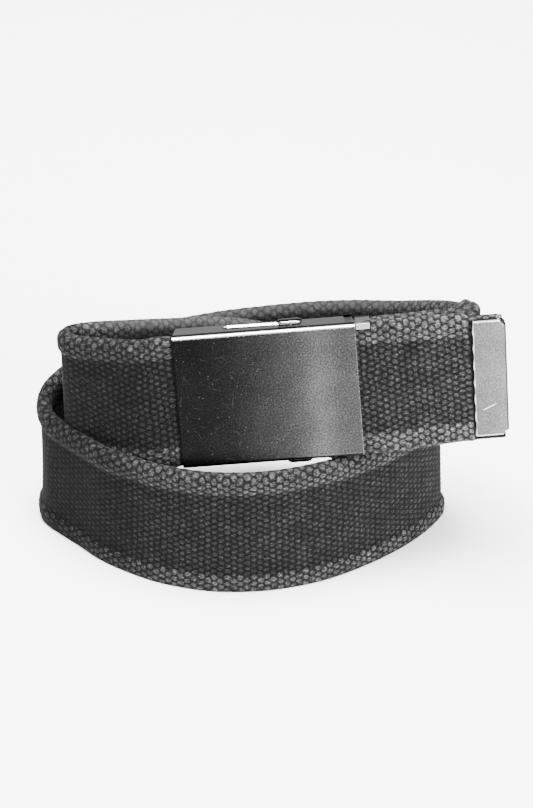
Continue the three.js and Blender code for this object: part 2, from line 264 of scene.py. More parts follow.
def route_at(places):
    """Middle, upright and sideways direction at places counted in rows."""
    before = 2 * row_middles[:1] - row_middles[1:2]
    after = 2 * row_middles[-1:] - row_middles[-2:-1]
    points = np.vstack((before, row_middles, after))
    index = np.minimum(places.astype(int), len(row_middles) - 2)
    share = (places - index)[:, None]
    p0, p1, p2, p3 = (points[index + step] for step in range(4))
    d0, d1, d2 = (
        np.sqrt(np.linalg.norm(b - a, axis=1))[:, None]
        for a, b in ((p0, p1), (p1, p2), (p2, p3))
    )
    leave = ((p1 - p0) / d0 - (p2 - p0) / (d0 + d1) + (p2 - p1) / d1) * d1
    arrive = ((p2 - p1) / d1 - (p3 - p1) / (d1 + d2) + (p3 - p2) / d2) * d1
    square = 3 * (p2 - p1) - 2 * leave - arrive
    cube = 2 * (p1 - p2) + leave + arrive
    middle = p1 + share * (leave + share * (square + share * cube))
    tangent = leave + share * (2 * square + 3 * share * cube)
    tangent /= np.linalg.norm(tangent, axis=1)[:, None]
    up = row_ups[index] * (1 - share) + row_ups[index + 1] * share
    up -= slope_follow * np.sum(up * tangent, axis=1)[:, None] * tangent
    up /= np.linalg.norm(up, axis=1)[:, None]
    side = np.cross(up, tangent)
    side /= np.linalg.norm(side, axis=1)[:, None]
    return middle, up, side


measure_steps = 60
fine_places = np.linspace(0, len(route) - 1, (len(route) - 1) * measure_steps + 1)
fine_middles = route_at(fine_places)[0]
fine_lengths = np.concatenate((
    [0], np.cumsum(np.linalg.norm(np.diff(fine_middles, axis=0), axis=1)),
))
strap_length = fine_lengths[-1]
print("strap length in mm:", round(strap_length / mm, 1))

# %% [markdown]
# The frame's origin is under the middle of the whole belt, while the rows are counted
# from the buckle's side. The same plain section that the solid has is laid along the
# route, and its lowest corner says how far all the pieces shift.

# %% Shift from the route to the frame
solid_steps = 4
solid_places = np.arange((len(route) - 1) * solid_steps + 1) / solid_steps
solid_middle, solid_up, solid_side = route_at(solid_places)
solid_corners = [
    solid_middle + across * solid_side + along * solid_up
    for across, along in (
        (sign_a * (web_thickness / 2 - inset_a), sign_w * (web_width / 2 - inset_w))
        for sign_a in (-1, 1)
        for sign_w in (-1, 1)
        for inset_a, inset_w in ((0, web_edge_bevel), (web_edge_bevel, 0))
    )
]
route_low = np.min(np.vstack(solid_corners), axis=0)
shift = Vector(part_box("webbing")[0]) - Vector(route_low)
shift.z = 0
to_frame = Matrix.Translation(shift)
buckle_in_frame = to_frame @ buckle_place
tip_in_frame = to_frame @ tip_place
print("shift in mm:", [round(c / mm, 3) for c in shift])

# %% [markdown]
# ## Camera
# The photograph looks down on the belt from the buckle's side. A long lens keeps the
# coil's front and back nearly the same size. The camera is made first.

# %% Camera at the photograph's angle
camera_elevation = math.radians(35)
camera_distance = 1263.2 * mm
camera_aim = Vector((0, 0, 21.05 * mm)) + shift
sensor_height = 36.0
lens = 176.4

camera_data = bpy.data.cameras.new("camera")
camera_data.sensor_fit = "VERTICAL"
camera_data.sensor_height = sensor_height
camera_data.sensor_width = sensor_height
camera_data.lens = lens
camera_data.clip_start = 0.05
camera_data.clip_end = 20
camera = bpy.data.objects.new("camera", camera_data)
bpy.context.scene.collection.objects.link(camera)
towards_camera = Vector((0, -math.cos(camera_elevation), math.sin(camera_elevation)))
camera.location = camera_aim + camera_distance * towards_camera
camera.rotation_mode = "QUATERNION"
camera.rotation_quaternion = (-towards_camera).to_track_quat("-Z", "Y")
bpy.context.scene.camera = camera
print("camera at", [round(c, 3) for c in camera.location])

# %% [markdown]
# ## Floor and light
# The belt stands on a plain pale sheet. One broad lamp hangs nearly overhead, a little
# to the left and behind. It whitens the sheet, lights the upper edges of the strap and
# the bend of the plate, and drops a soft shadow to the lower right. A second lamp at the
# front right lifts the upright faces, least at the left bend. An even, dimmer world
# fills the rest in.

# %% Floor
floor_half = 3.0
paper_white = 0.9
floor_mesh = bpy.data.meshes.new("floor")
floor_mesh.from_pydata(
    [(-floor_half, -floor_half, 0), (floor_half, -floor_half, 0),
     (floor_half, floor_half, 0), (-floor_half, floor_half, 0)],
    [], [(0, 1, 2, 3)],
)
floor = bpy.data.objects.new("floor", floor_mesh)
bpy.context.scene.collection.objects.link(floor)
floor_paint = bpy.data.materials.new("floor_paper")
floor_paint.use_nodes = True
floor_shader = floor_paint.node_tree.nodes["Principled BSDF"]
floor_shader.inputs["Base Color"].default_value = (paper_white, paper_white, paper_white, 1)
floor_shader.inputs["Roughness"].default_value = 0.9
floor_shader.inputs["Specular IOR Level"].default_value = 0.1
floor_mesh.materials.append(floor_paint)
print("floor's width in metres:", 2 * floor_half)

# %% Lamps and world
lamp_aim = Vector((0, 0, 30 * mm))


def area_lamp(name, place, size, power):
    """A square soft lamp that looks at the belt."""
    lamp_data = bpy.data.lights.new(name, "AREA")
    lamp_data.shape = "SQUARE"
    lamp_data.size = size
    lamp_data.energy = power
    lamp = bpy.data.objects.new(name, lamp_data)
    lamp.location = place
    lamp.rotation_mode = "QUATERNION"
    lamp.rotation_quaternion = (lamp_aim - Vector(place)).to_track_quat("-Z", "Y")
    bpy.context.scene.collection.objects.link(lamp)
    return lamp


area_lamp("lamp_overhead", place=(-0.10, 0.08, 1.0), size=0.6, power=80)
area_lamp("lamp_front_right", place=(0.85, -0.85, 0.45), size=0.8, power=75)
world = bpy.data.worlds.new("studio")
world.use_nodes = True
background = world.node_tree.nodes["Background"]
background.inputs["Color"].default_value = (1, 1, 1, 1)
background.inputs["Strength"].default_value = 0.7
bpy.context.scene.world = world

# %% [markdown]
# ## Small helpers for node materials
# A material here is a short chain of nodes. The first helper adds one node, sets its
# plain values and links what is given as a socket. The others name what a chain does,
# so that it reads like a sentence.

# %% Helpers for nodes and sums


def add_node(tree, kind, inputs=(), **settings):
    """Adds a node; an input is (name or number, value or socket)."""
    node = tree.nodes.new(kind)
    for name, value in settings.items():
        setattr(node, name, value)
    for key, value in inputs:
        if isinstance(value, bpy.types.NodeSocket):
            tree.links.new(value, node.inputs[key])
        else:
            node.inputs[key].default_value = value
    return node


def calculate(tree, operation, *values):
    """One Math node and its result."""
    return add_node(tree, "ShaderNodeMath", enumerate(values), operation=operation).outputs[0]


def total(tree, *values):
    """The sum of several values."""
    result = values[0]
    for value in values[1:]:
        result = calculate(tree, "ADD", result, value)
    return result


def product(tree, *values):
    """The product of several values or masks."""
    result = values[0]
    for value in values[1:]:
        result = calculate(tree, "MULTIPLY", result, value)
    return result


def largest(tree, *values):
    """The largest of several masks."""
    result = values[0]
    for value in values[1:]:
        result = calculate(tree, "MAXIMUM", result, value)
    return result


def rest_of(tree, share):
    """What is left of 1."""
    return calculate(tree, "SUBTRACT", 1.0, share)


def ease(tree, value, low, high, to_low=0.0, to_high=1.0):
    """A smooth step from one value to another."""
    node = add_node(tree, "ShaderNodeMapRange", (
        ("Value", value), ("From Min", low), ("From Max", high),
        ("To Min", to_low), ("To Max", to_high),
    ), interpolation_type="SMOOTHSTEP")
    return node.outputs["Result"]


print("helpers for nodes and sums are ready")

# %% Helpers for colours and noise


def blend_colours(tree, share, first, second):
    """Mixes two colours by a share."""
    node = add_node(tree, "ShaderNodeMix", data_type="RGBA")
    for key, value in (("Factor_Float", share), ("A_Color", first), ("B_Color", second)):
        socket = next(s for s in node.inputs if s.identifier == key)
        if isinstance(value, bpy.types.NodeSocket):
            tree.links.new(value, socket)
        else:
            socket.default_value = value
    return next(s for s in node.outputs if s.identifier == "Result_Color")


def grey(value):
    """A neutral colour."""
    return (value, value, value, 1)


def grey_from_stops(tree, stops, shade):
    """A neutral colour: a shade made paler or darker by stops."""
    value = product(tree, calculate(tree, "EXPONENT", stops), shade)
    channels = [(channel, value) for channel in ("Red", "Green", "Blue")]
    return add_node(tree, "ShaderNodeCombineColor", channels).outputs["Color"]


def noise(tree, place, scale, detail, roughness=0.5):
    """Noise between 0 and 1."""
    return add_node(tree, "ShaderNodeTexNoise", (
        ("Vector", place), ("Scale", scale), ("Detail", detail), ("Roughness", roughness),
    )).outputs["Fac"]


def about_zero(tree, value, contrast):
    """Noise, moved so that it varies about zero."""
    return product(tree, calculate(tree, "SUBTRACT", value, 0.5), contrast)


def new_material(name):
    """A material with an empty Principled shader."""
    material = bpy.data.materials.new(name)
    material.use_nodes = True
    tree = material.node_tree
    return material, tree, tree.nodes["Principled BSDF"]


print("helpers for colours and noise are ready")

# %% [markdown]
# ## The weave as a formula
# In this coarse webbing the yarns run along the strap and dive under the cross yarns
# in turn, so each row of bumps is shifted by half a pitch against the next. Each place
# belongs to its nearest bump, and its height falls with the square of the distance to
# the middle of that bump. That gives round bumps with thin gaps between them. The
# shape and the colour both use it. The rows wrap round both edges without a break. An
# image would give the same picture, but a formula stays sharp at any size.

# %% Weave sizes and the pattern
bump_pitch = 3.9 * mm
half_pitch = bump_pitch / 2
edge_round = 1.55 * mm
face_reach = web_width / 2 - edge_round
edge_middle = face_reach + edge_round * math.pi / 2
field_rows, edge_rows = 14.5, 6.5
field_row = 0.985 * mm
field_reach = field_rows * field_row
edge_row = (edge_middle - field_reach) / edge_rows
column_reach, row_reach = 1.68, 1.03
border_zigzag = 0.35 * mm
print("rows from the middle of a face to an edge:", field_rows + edge_rows)


def to_nearest_even(value):
    """Distance to the nearest even number, from 0 to 1."""
    return np.abs((value + 1) % 2 - 1)


def row_count(around):
    """Rows from the middle of a face; those along the edge are a little wider."""
    reach = np.abs(around)
    return (
        np.minimum(reach, field_reach) / field_row
        + np.maximum(reach - field_reach, 0) / edge_row
    )


def weave_height(along, around):
    """1 on top of a bump and 0 where it meets the next; the reaches are in bump radii."""
    column = to_nearest_even(along / half_pitch)
    row = to_nearest_even(row_count(around))
    even = (column * column_reach) ** 2 + (row * row_reach) ** 2
    odd = ((1 - column) * column_reach) ** 2 + ((1 - row) * row_reach) ** 2
    return 1 - np.minimum(even, odd)


def in_edge_rows(along, around):
    """True on the grey rows; their border zigzags round the last charcoal bumps."""
    zigzag = border_zigzag * np.cos(math.pi * along / half_pitch)
    return np.abs(around) > field_reach + zigzag


# %% Unevenness of the weave
wave_count = 9
wave_lengths_along = (7 * mm, 34 * mm)
wave_lengths_around = (4 * mm, 18 * mm)
wander_reach = 0.07 * mm
yarn_random = np.random.default_rng(7)
wander_waves = [
    (
        2 * math.pi / yarn_random.uniform(*wave_lengths_along),
        2 * math.pi / yarn_random.uniform(*wave_lengths_around),
        yarn_random.uniform(0, 2 * math.pi),
    )
    for wave in range(wave_count)
]


def wandered(along, around):
    """The weave is not quite even: each place along it is shifted a little."""
    wander = sum(np.sin(along * a + around * b + phase) for a, b, phase in wander_waves)
    return along + wander_reach * wander


print("rows in mm:", round(field_row / mm, 3), round(edge_row / mm, 3))

# %% [markdown]
# ## The webbing
# The strap is one closed mesh. Its section has two flat faces, round edges and a
# thicker bead along each edge. Each point keeps where it would lie if the strap were
# laid flat, in an attribute of the mesh, so the weave follows the strap round every
# bend. A texture laid by the object's own x, y and z would slide over the bends.

# %% Section of the strap
field_half_thickness = 1.35 * mm
bead_half_thickness = 2.4 * mm
pressed_half_thickness = 1.5 * mm
bead_start = field_reach - 1.2 * mm
bead_blend = 3.4 * mm
edge_swell = 1.0 * mm
field_relief = 0.12 * mm
edge_relief = 0.18 * mm


def section_places(steps_per_row):
    """Places round half the section, from the middle of a face to the edge's middle."""
    field = np.arange(round(field_rows * steps_per_row)) * field_row / steps_per_row
    edge = np.arange(round(edge_rows * steps_per_row) + 1) * edge_row / steps_per_row
    return np.concatenate((field, field_reach + edge))


def whole_section(steps_per_row):
    """Places once round, from an edge's middle, and the sign of the face they are on."""
    quarter = section_places(steps_per_row)
    half = np.concatenate((-quarter[:0:-1], quarter))
    return (
        np.concatenate((half, half[-2:0:-1])),
        np.concatenate((np.ones(len(half)), -np.ones(len(half) - 2))),
    )


def smooth_share(value, low, high):
    """0 below low, 1 above high and smooth between."""
    share = np.clip((value - low) / (high - low), 0, 1)
    return share * share * (3 - 2 * share)


print("bead thickness in mm:", round(2 * bead_half_thickness / mm, 2))

# %% [markdown]
# Inside the buckle, the clamp and the tip the webbing is pressed, so its edges are
# no thicker there than the room that the metal leaves. The tail's end also sits a
# little low in the tip, so that a strip of webbing shows under it.

# %% Where the metal holds the strap
press_fade = 4 * mm
relief_lost = 0.6
swell_lost = 0.4
tail_end_drop = 0.7 * mm
row_lengths = np.interp(np.arange(len(route)), fine_places, fine_lengths)
clamp_end_length = row_lengths[1] + clamp_ear_length
buckle_start_length = row_lengths[-6]
buckle_end_length = row_lengths[-4]
tip_start_length = row_lengths[-2]


def held_share(lengths):
    """1 where metal holds the strap and 0 on its free stretches."""
    in_clamp = 1 - smooth_share(lengths, clamp_end_length, clamp_end_length + press_fade)
    in_buckle = (
        smooth_share(lengths, buckle_start_length - press_fade, buckle_start_length)
        - smooth_share(lengths, buckle_end_length, buckle_end_length + press_fade)
    )
    in_tip = smooth_share(lengths, tip_start_length - press_fade / 2, tip_start_length)
    return np.clip(in_clamp + in_buckle + in_tip, 0, 1)


print("tip starts at mm:", round(tip_start_length / mm, 1))

# %% Points of the strap


def strap_points(rings, around, face):
    """The section's points at each ring, and where they lie on the flat strap."""
    middle, up, side = route_at(np.interp(rings, fine_lengths, fine_places))
    held = held_share(rings)[:, None]
    reach = np.abs(around)
    turn = np.clip((reach - face_reach) / edge_round, 0, math.pi / 2)
    out_across = np.cos(turn) * face
    out_along = np.sin(turn) * np.sign(around)

    bead = bead_half_thickness * (1 - held) + pressed_half_thickness * held
    bead_share = smooth_share(reach, bead_start, bead_start + bead_blend)
    half_thickness = field_half_thickness + (bead - field_half_thickness) * bead_share

    woven = wandered(rings[:, None], around)
    relief = np.where(in_edge_rows(woven, around), edge_relief, field_relief)
    height = weave_height(woven, around) * relief * (1 - relief_lost * held)
    swell = edge_swell * (1 - swell_lost * held)
    in_tip = smooth_share(rings, tip_start_length - press_fade, tip_start_length)[:, None]

    across = half_thickness * out_across + height * out_across
    along = np.sign(around) * np.minimum(reach, face_reach)
    along = along + (edge_round + swell + height) * out_along - tail_end_drop * in_tip
    points = (
        middle[:, None, :]
        + across[:, :, None] * side[:, None, :]
        + along[:, :, None] * up[:, None, :]
        + np.array(shift)
    )
    points[:, :, 2] = np.maximum(points[:, :, 2], 0)
    flat = np.stack((woven, np.broadcast_to(around, woven.shape), across), axis=-1)
    return points, flat


print("edge relief in mm:", round(edge_relief / mm, 2))

# %% Faces of the strap


def end_cap(ring):
    """A flat end as strips across the thickness; the ring starts in an edge's middle."""
    strips = [
        [ring[step], ring[step + 1], ring[-step - 1], ring[-step]]
        for step in range(len(ring) // 2)
    ]
    return [list(dict.fromkeys(strip)) for strip in strips]


def strap_faces(ring_count, count):
    """Four-sided faces between the rings, and a cap that looks outwards at each end."""
    corner = np.arange(count)
    following = (corner + 1) % count
    ring = np.arange(ring_count - 1)[:, None] * count
    quads = np.stack((
        ring + corner, ring + following, ring + count + following, ring + count + corner,
    ), axis=-1).reshape(-1, 4)
    first_cap = [strip[::-1] for strip in end_cap(corner.tolist())]
    last_cap = end_cap((corner + (ring_count - 1) * count).tolist())
    return quads.tolist() + first_cap + last_cap


print("faces in an end cap:", len(end_cap(list(range(len(whole_section(2)[0]))))))

# %% Mesh of the strap


def strap_mesh(name, start, end, ring_step, steps_per_row):
    """A closed length of the strap from start to end, in metres along it."""
    around, face = whole_section(steps_per_row)
    rings = np.arange(round(start / ring_step), round(end / ring_step) + 1) * ring_step
    rings = np.clip(rings, 0, strap_length)
    points, flat = strap_points(rings, around, face)
    mesh = bpy.data.meshes.new(name)
    mesh.from_pydata(points.reshape(-1, 3).tolist(), [], strap_faces(len(rings), len(around)))
    mesh.update()
    mesh.shade_smooth()
    attribute = mesh.attributes.new("flat_place", "FLOAT_VECTOR", "POINT")
    attribute.data.foreach_set("vector", flat.astype(np.float32).ravel())
    piece = bpy.data.objects.new(name, mesh)
    bpy.context.scene.collection.objects.link(piece)
    return piece


def triangle_count(piece):
    """Triangles in a piece."""
    return sum(len(polygon.vertices) - 2 for polygon in piece.data.polygons)


print("the strap is", round(strap_length / bump_pitch), "bumps long")

# %% [markdown]
# A mesh of the whole strap that is fine enough for the tail, which is seen best,
# would be very large. So the tail is a piece of its own, with a finer mesh. The two
# meet in the middle of the buckle, behind the plate.

# %% Build the strap
coarse_step, coarse_row_steps = bump_pitch / 4, 2
fine_step, fine_row_steps = bump_pitch / 8, 4
join_length = (buckle_start_length + buckle_end_length) / 2
join_length = round(join_length / coarse_step) * coarse_step
webbing_coil = strap_mesh("webbing_coil", 0, join_length, coarse_step, coarse_row_steps)
webbing_tail = strap_mesh(
    "webbing_tail", join_length, strap_length, fine_step, fine_row_steps,
)
for piece in (webbing_coil, webbing_tail):
    print(piece.name, "triangles:", triangle_count(piece))

# %% [markdown]
# ## The webbing's colour
# The yarn is charcoal, and both edges have faded to grey. The gaps between the bumps
# are darker than the tops: partly the yarn's own tone, darkest where it dives under
# and paler where the tops are rubbed, and partly painted shade. Shade adds up in stops,
# so the parts are summed first, and the exponential turns the sum into a colour. The
# weave is worked out again in nodes, from the flat place that each point keeps.

# %% The weave in nodes
webbing_paint, tree, webbing_shader = new_material("charcoal_webbing")
flat_place = add_node(
    tree, "ShaderNodeAttribute", attribute_name="flat_place",
).outputs["Vector"]
flat_axes = add_node(tree, "ShaderNodeSeparateXYZ", ((0, flat_place),)).outputs
reach = calculate(tree, "ABSOLUTE", flat_axes["Y"])
columns = calculate(tree, "DIVIDE", flat_axes["X"], half_pitch)
reach_in_field = calculate(tree, "MINIMUM", reach, field_reach)
reach_past_field = calculate(
    tree, "MAXIMUM", calculate(tree, "SUBTRACT", reach, field_reach), 0.0,
)
rows = total(
    tree, calculate(tree, "DIVIDE", reach_in_field, field_row),
    calculate(tree, "DIVIDE", reach_past_field, edge_row),
)


def weave_nodes(tree):
    """The same as weave_height, in nodes."""
    squares = []
    for count, size in ((columns, column_reach), (rows, row_reach)):
        near = calculate(tree, "PINGPONG", count, 1.0)
        for distance in (near, rest_of(tree, near)):
            part = product(tree, distance, size)
            squares.append(product(tree, part, part))
    even = total(tree, squares[0], squares[2])
    odd = total(tree, squares[1], squares[3])
    return rest_of(tree, calculate(tree, "MINIMUM", even, odd))


height = weave_nodes(tree)
print("nodes for the weave:", len(tree.nodes))

# %% [markdown]
# The grey rows start past a border that zigzags round the last charcoal bumps. Values
# that differ between the field and the edges are mixed with the same mask.

# %% Field and edges
border_blur = 0.12 * mm
zigzag = product(tree, border_zigzag, calculate(
    tree, "COSINE", product(tree, columns, math.pi),
))
past_border = calculate(tree, "SUBTRACT", reach, total(tree, field_reach, zigzag))
on_edge = ease(tree, past_border, -border_blur, border_blur)


def by_place(tree, field, edge):
    """A value for the field and another for the edge rows."""
    return total(tree, product(tree, field, rest_of(tree, on_edge)), product(tree, edge, on_edge))


print("grey rows start at mm:", round(field_reach / mm, 1))

# %% [markdown]
# Painted shade darkens the strap unevenly along its length: most round the left end
# of the coil and least on the tail. The weave of the two back passes is rubbed
# smoother. Both are given at some rows of the route, and a colour ramp eases from one
# to the next.

# %% Painted shade along the strap
most_stops = 1.6
painted_shade_rows = (
    # row of the route, how many stops of painted shade the yarn gets there
    (0, 0.4), (8, 0.5), (14, 0.5), (16, 0.7), (18, 1.4), (20, 1.6), (22, 1.3), (24, 0.75),
    (26, 0.6), (28, 0.65), (31, 0.6), (34, 0.2), (41, 0.3), (43, 1.1), (47, 1.1),
    (48, 0.8), (51, 0.3), (54, 0.0),
)
softer_rows = (
    # row of the route, how much of the weave's contrast is lost there
    (0, 0.0), (7, 0.3), (10, 0.65), (15, 0.65), (17, 0.1), (32, 0.0), (34, 0.65), (40, 0.65),
    (42, 0.1), (54, 0.0),
)


def along_strap(tree, amounts):
    """A smooth value along the strap, given at some rows of the route."""
    ramp = add_node(tree, "ShaderNodeValToRGB", (
        (0, calculate(tree, "DIVIDE", flat_axes["X"], strap_length)),
    ))
    ramp.color_ramp.interpolation = "EASE"
    elements = ramp.color_ramp.elements
    elements.remove(elements[1])
    for row, amount in amounts[1:]:
        elements.new(row_lengths[row] / strap_length).color = grey(amount)
    elements[0].color = grey(amounts[0][1])
    return ramp.outputs["Color"]


# painted shade along the strap, in stops
darker = product(tree, most_stops, along_strap(
    tree, [(row, amount / most_stops) for row, amount in painted_shade_rows],
))
contrast = rest_of(tree, along_strap(tree, softer_rows))
print("rows with a shade:", len(painted_shade_rows), "rows with a contrast:", len(softer_rows))

# %% [markdown]
# Fine noise, drawn out along the strap, stands for the fibres, and coarser noise for
# patches of wear. The gaps between the bumps get painted shade, besides the yarn's own
# darker tone there, and a thin line beside the metal tip's crimped edge gets a
# painted shadow.

# %% Shade of the yarn
field_shade, edge_shade = 0.0185, 0.044
# painted shade in the gaps between the bumps, in stops, and the weave's heights where it starts
# and ends
field_gap_stops, edge_gap_stops = -1.8, -1.9
gap_bottom = -0.1
field_gap_top, edge_gap_top = 1.0, 0.85
fibre_stretch = (1.0, 1.8, 1.8)
fibre_scale, fibre_contrast = 1500.0, 8.0
patch_scale, patch_contrast = 260.0, 2.0
# width of the painted shadow beside the tip
tip_line = 0.8 * mm

fibre_place = add_node(tree, "ShaderNodeMapping", (
    ("Vector", flat_place), ("Scale", fibre_stretch),
)).outputs["Vector"]
fibres = noise(tree, fibre_place, fibre_scale, detail=2.0, roughness=0.8)
fibres = about_zero(tree, fibres, fibre_contrast)
patches = noise(tree, flat_place, patch_scale, detail=3.0, roughness=0.6)
patches = about_zero(tree, patches, patch_contrast)
# the gaps' painted shade, on top of the yarn's own darker tone there
gap_shade = by_place(
    tree, ease(tree, height, field_gap_top, gap_bottom),
    ease(tree, height, edge_gap_top, gap_bottom),
)
# painted shadow: a thin dark line on the webbing beside the tip's crimped edge
tip_shadow_line = product(
    tree,
    ease(tree, flat_axes["X"], tip_start_length - tip_line, tip_start_length - tip_line / 3),
    ease(tree, reach, edge_middle - tip_line, edge_middle - 2 * tip_line),
)
painted_shade_stops = product(
    tree, total(tree, gap_shade, tip_shadow_line),
    by_place(tree, field_gap_stops, edge_gap_stops),
)
yarn_stops = product(tree, total(tree, painted_shade_stops, fibres, patches), contrast)
yarn_stops = calculate(tree, "SUBTRACT", yarn_stops, darker)
yarn_colour = grey_from_stops(tree, yarn_stops, by_place(tree, field_shade, edge_shade))
print("nodes for the yarn's shade:", len(tree.nodes))

# %% [markdown]
# Polyester yarn scatters light and hardly mirrors it, so the finish is rough, with
# very little gloss and a trace of sheen from the loose fibres.

# %% Webbing material
fibre_relief = 0.35
weave_bump = 0.12 * mm
bump = add_node(tree, "ShaderNodeBump", (
    ("Height", total(tree, height, product(tree, fibres, fibre_relief))),
    ("Strength", 0.5), ("Distance", weave_bump),
))
tree.links.new(yarn_colour, webbing_shader.inputs["Base Color"])
tree.links.new(bump.outputs["Normal"], webbing_shader.inputs["Normal"])
webbing_shader.inputs["Roughness"].default_value = 0.92
webbing_shader.inputs["Specular IOR Level"].default_value = 0.04
webbing_shader.inputs["Sheen Weight"].default_value = 0.01
webbing_shader.inputs["Sheen Roughness"].default_value = 0.6

for piece in (webbing_coil, webbing_tail):
    piece.data.materials.append(webbing_paint)
    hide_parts("webbing")
    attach(piece, "root")
print("webbing pieces:", webbing_coil.name, webbing_tail.name)

# %% [markdown]
# ## The buckle's plate
# The plate and its two flanges are bent from one sheet. A bend is never sharp: its
# radius catches the lamp and draws the bright line along the plate's upper edge. So
# the sheet's section is drawn with round bends and stretched along x. The slots for
# the rod and the notches for the clamp are cut out of it with booleans, as a punch
# would, and the last sharp edges are broken with a small bevel.

# %% Sizes of the plate
flange_depth = 9.7 * mm
flange_end_slant = 0.9 * mm
bend_radius = 1.3 * mm
bend_steps = 8
rod_x = 8 * mm
rod_middle = tail_middle + web_thickness / 2 + gap + rod_diameter / 2
slot_start_x = -11 * mm
slot_start_behind_front = 6.6 * mm
slot_width = 3.2 * mm
lug_length = 2 * mm
lug_from_plate_end = 1 * mm
clamp_back_leaf = fixed_middle + web_thickness / 2 + gap
cut_margin = 2 * mm
slot_rim = 0.5 * mm
wedge_over = 0.2 * mm
print("plate length and height in mm:", plate_length / mm, round(plate_height / mm, 1))

# %% Helpers for closed bodies


def object_of(mesh):
    """An object in the scene for a mesh."""
    piece = bpy.data.objects.new(mesh.name, mesh)
    bpy.context.scene.collection.objects.link(piece)
    return piece


def stacked(name, rings):
    """A closed body through outlines that all have the same number of points."""
    count = len(rings[0])
    top = (len(rings) - 1) * count
    sides = [
        (ring + corner, ring + (corner + 1) % count,
         ring + count + (corner + 1) % count, ring + count + corner)
        for ring in range(0, top, count)
        for corner in range(count)
    ]
    ends = [tuple(range(count - 1, -1, -1)), tuple(range(top, top + count))]
    mesh = bpy.data.meshes.new(name)
    mesh.from_pydata([point for ring in rings for point in ring], [], sides + ends)
    mesh.update()
    work = bmesh.new()
    work.from_mesh(mesh)
    bmesh.ops.recalc_face_normals(work, faces=work.faces)
    work.to_mesh(mesh)
    work.free()
    return object_of(mesh)


def as_drawn(x, y, z):
    """Leaves a point where it was drawn."""
    return (x, y, z)


def prism(name, outline, low, high, place=as_drawn):
    """A closed body: an outline of (x, y) points raised from low to high."""
    return stacked(name, [[place(x, y, level) for x, y in outline] for level in (low, high)])


print("helpers for closed bodies are ready")

# %% Helpers for cutting and rounding
weld_distance = 0.002 * mm


def combine(piece, others, operation):
    """Cuts the other bodies from a piece or joins them to it."""
    for other in others:
        modifier = piece.modifiers.new("combine", "BOOLEAN")
        modifier.operation = operation
        modifier.solver = "EXACT"
        modifier.object = other
    depsgraph = bpy.context.evaluated_depsgraph_get()
    made = bpy.data.meshes.new_from_object(piece.evaluated_get(depsgraph))
    piece.modifiers.clear()
    piece.data = made
    made.name = piece.name
    for other in others:
        bpy.data.objects.remove(other)
    return piece


def round_edges(piece, radius, sharpest):
    """Rounds a piece's edges that turn by more than some degrees, and counts them."""
    work = bmesh.new()
    work.from_mesh(piece.data)
    bmesh.ops.remove_doubles(work, verts=work.verts, dist=weld_distance)
    bmesh.ops.dissolve_limit(
        work, angle_limit=math.radians(1), verts=work.verts, edges=work.edges,
    )
    sharp = [
        edge for edge in work.edges
        if len(edge.link_faces) == 2
        and edge.calc_face_angle() > math.radians(sharpest)
    ]
    bmesh.ops.bevel(
        work, geom=sharp, offset=radius, segments=2, profile=0.5,
        affect="EDGES", clamp_overlap=True,
    )
    work.to_mesh(piece.data)
    work.free()
    return len(sharp)


def smooth_bends(piece):
    """Shades a piece smoothly, except over its sharp edges."""
    piece.data.shade_smooth()
    piece.data.set_sharp_from_angle(angle=math.radians(35))
    modifier = piece.modifiers.new("even_normals", "WEIGHTED_NORMAL")
    modifier.keep_sharp = True


print("helpers for cutting and rounding are ready")

# %% Bend the sheet


def sheet_outline():
    """Section of the plate with both flanges, as (y, z) points."""
    half = plate_height / 2
    inner_y = bend_radius - sheet_thickness
    inner_z = bend_radius - flange_thickness
    turns = np.linspace(0, math.pi / 2, bend_steps + 1)
    outer = [
        (bend_radius * (1 - math.sin(turn)), half - bend_radius * (1 - math.cos(turn)))
        for turn in turns
    ]
    inner = [
        (bend_radius - inner_y * math.sin(turn), half - bend_radius + inner_z * math.cos(turn))
        for turn in turns
    ]
    upper_outer = [(flange_depth, half), *outer]
    upper_inner = [(flange_depth, half - flange_thickness), *inner]
    return (
        upper_outer
        + [(y, -z) for y, z in reversed(upper_outer)]
        + [(y, -z) for y, z in upper_inner]
        + list(reversed(upper_inner))
    )


def slanted(y, z, x):
    """Places a point of the section; the flanges' ends slant inwards."""
    slant = flange_end_slant * max(0.0, y - bend_radius) / (flange_depth - bend_radius)
    return (x - math.copysign(slant, x), y, z)


plate = prism(
    "buckle_plate_bent", sheet_outline(), -plate_length / 2, plate_length / 2, slanted,
)
print("bent sheet's faces:", len(plate.data.polygons))

# %% Bodies for the cuts


def stadium(x0, y0, x1, y1, width, steps=8):
    """Outline of a strip with round ends."""
    angle = math.atan2(y1 - y0, x1 - x0)
    radius = width / 2
    turns = np.linspace(-math.pi / 2, math.pi / 2, steps + 1) + angle
    far = [(x1 + radius * math.cos(turn), y1 + radius * math.sin(turn)) for turn in turns]
    near = [(x0 - radius * math.cos(turn), y0 - radius * math.sin(turn)) for turn in turns]
    return far + near


def along_slot_wall(y, z, x):
    """Places a point that is given from the slot's rear wall."""
    share = (x - slot_start_x) / (rod_x - slot_start_x)
    middle = slot_start_behind_front + share * (rod_middle - slot_start_behind_front)
    return (x, middle + slot_width / 2 + y, z)


plate_top = plate_height / 2
cut_reach = plate_top + cut_margin
slot_outline = stadium(slot_start_x, slot_start_behind_front, rod_x, rod_middle, slot_width)
slot = prism("slot", slot_outline, -cut_reach, cut_reach)

notch_high = plate_length / 2 - lug_from_plate_end + gap
notch_low = notch_high - lug_length - 2 * gap
notch_front = clamp_back_leaf - gap
notch_back = flange_depth + cut_margin
notch_outline = [
    (notch_low, notch_front), (notch_high, notch_front),
    (notch_high, notch_back), (notch_low, notch_back),
]
notch = prism("notch", notch_outline, -cut_reach, cut_reach)

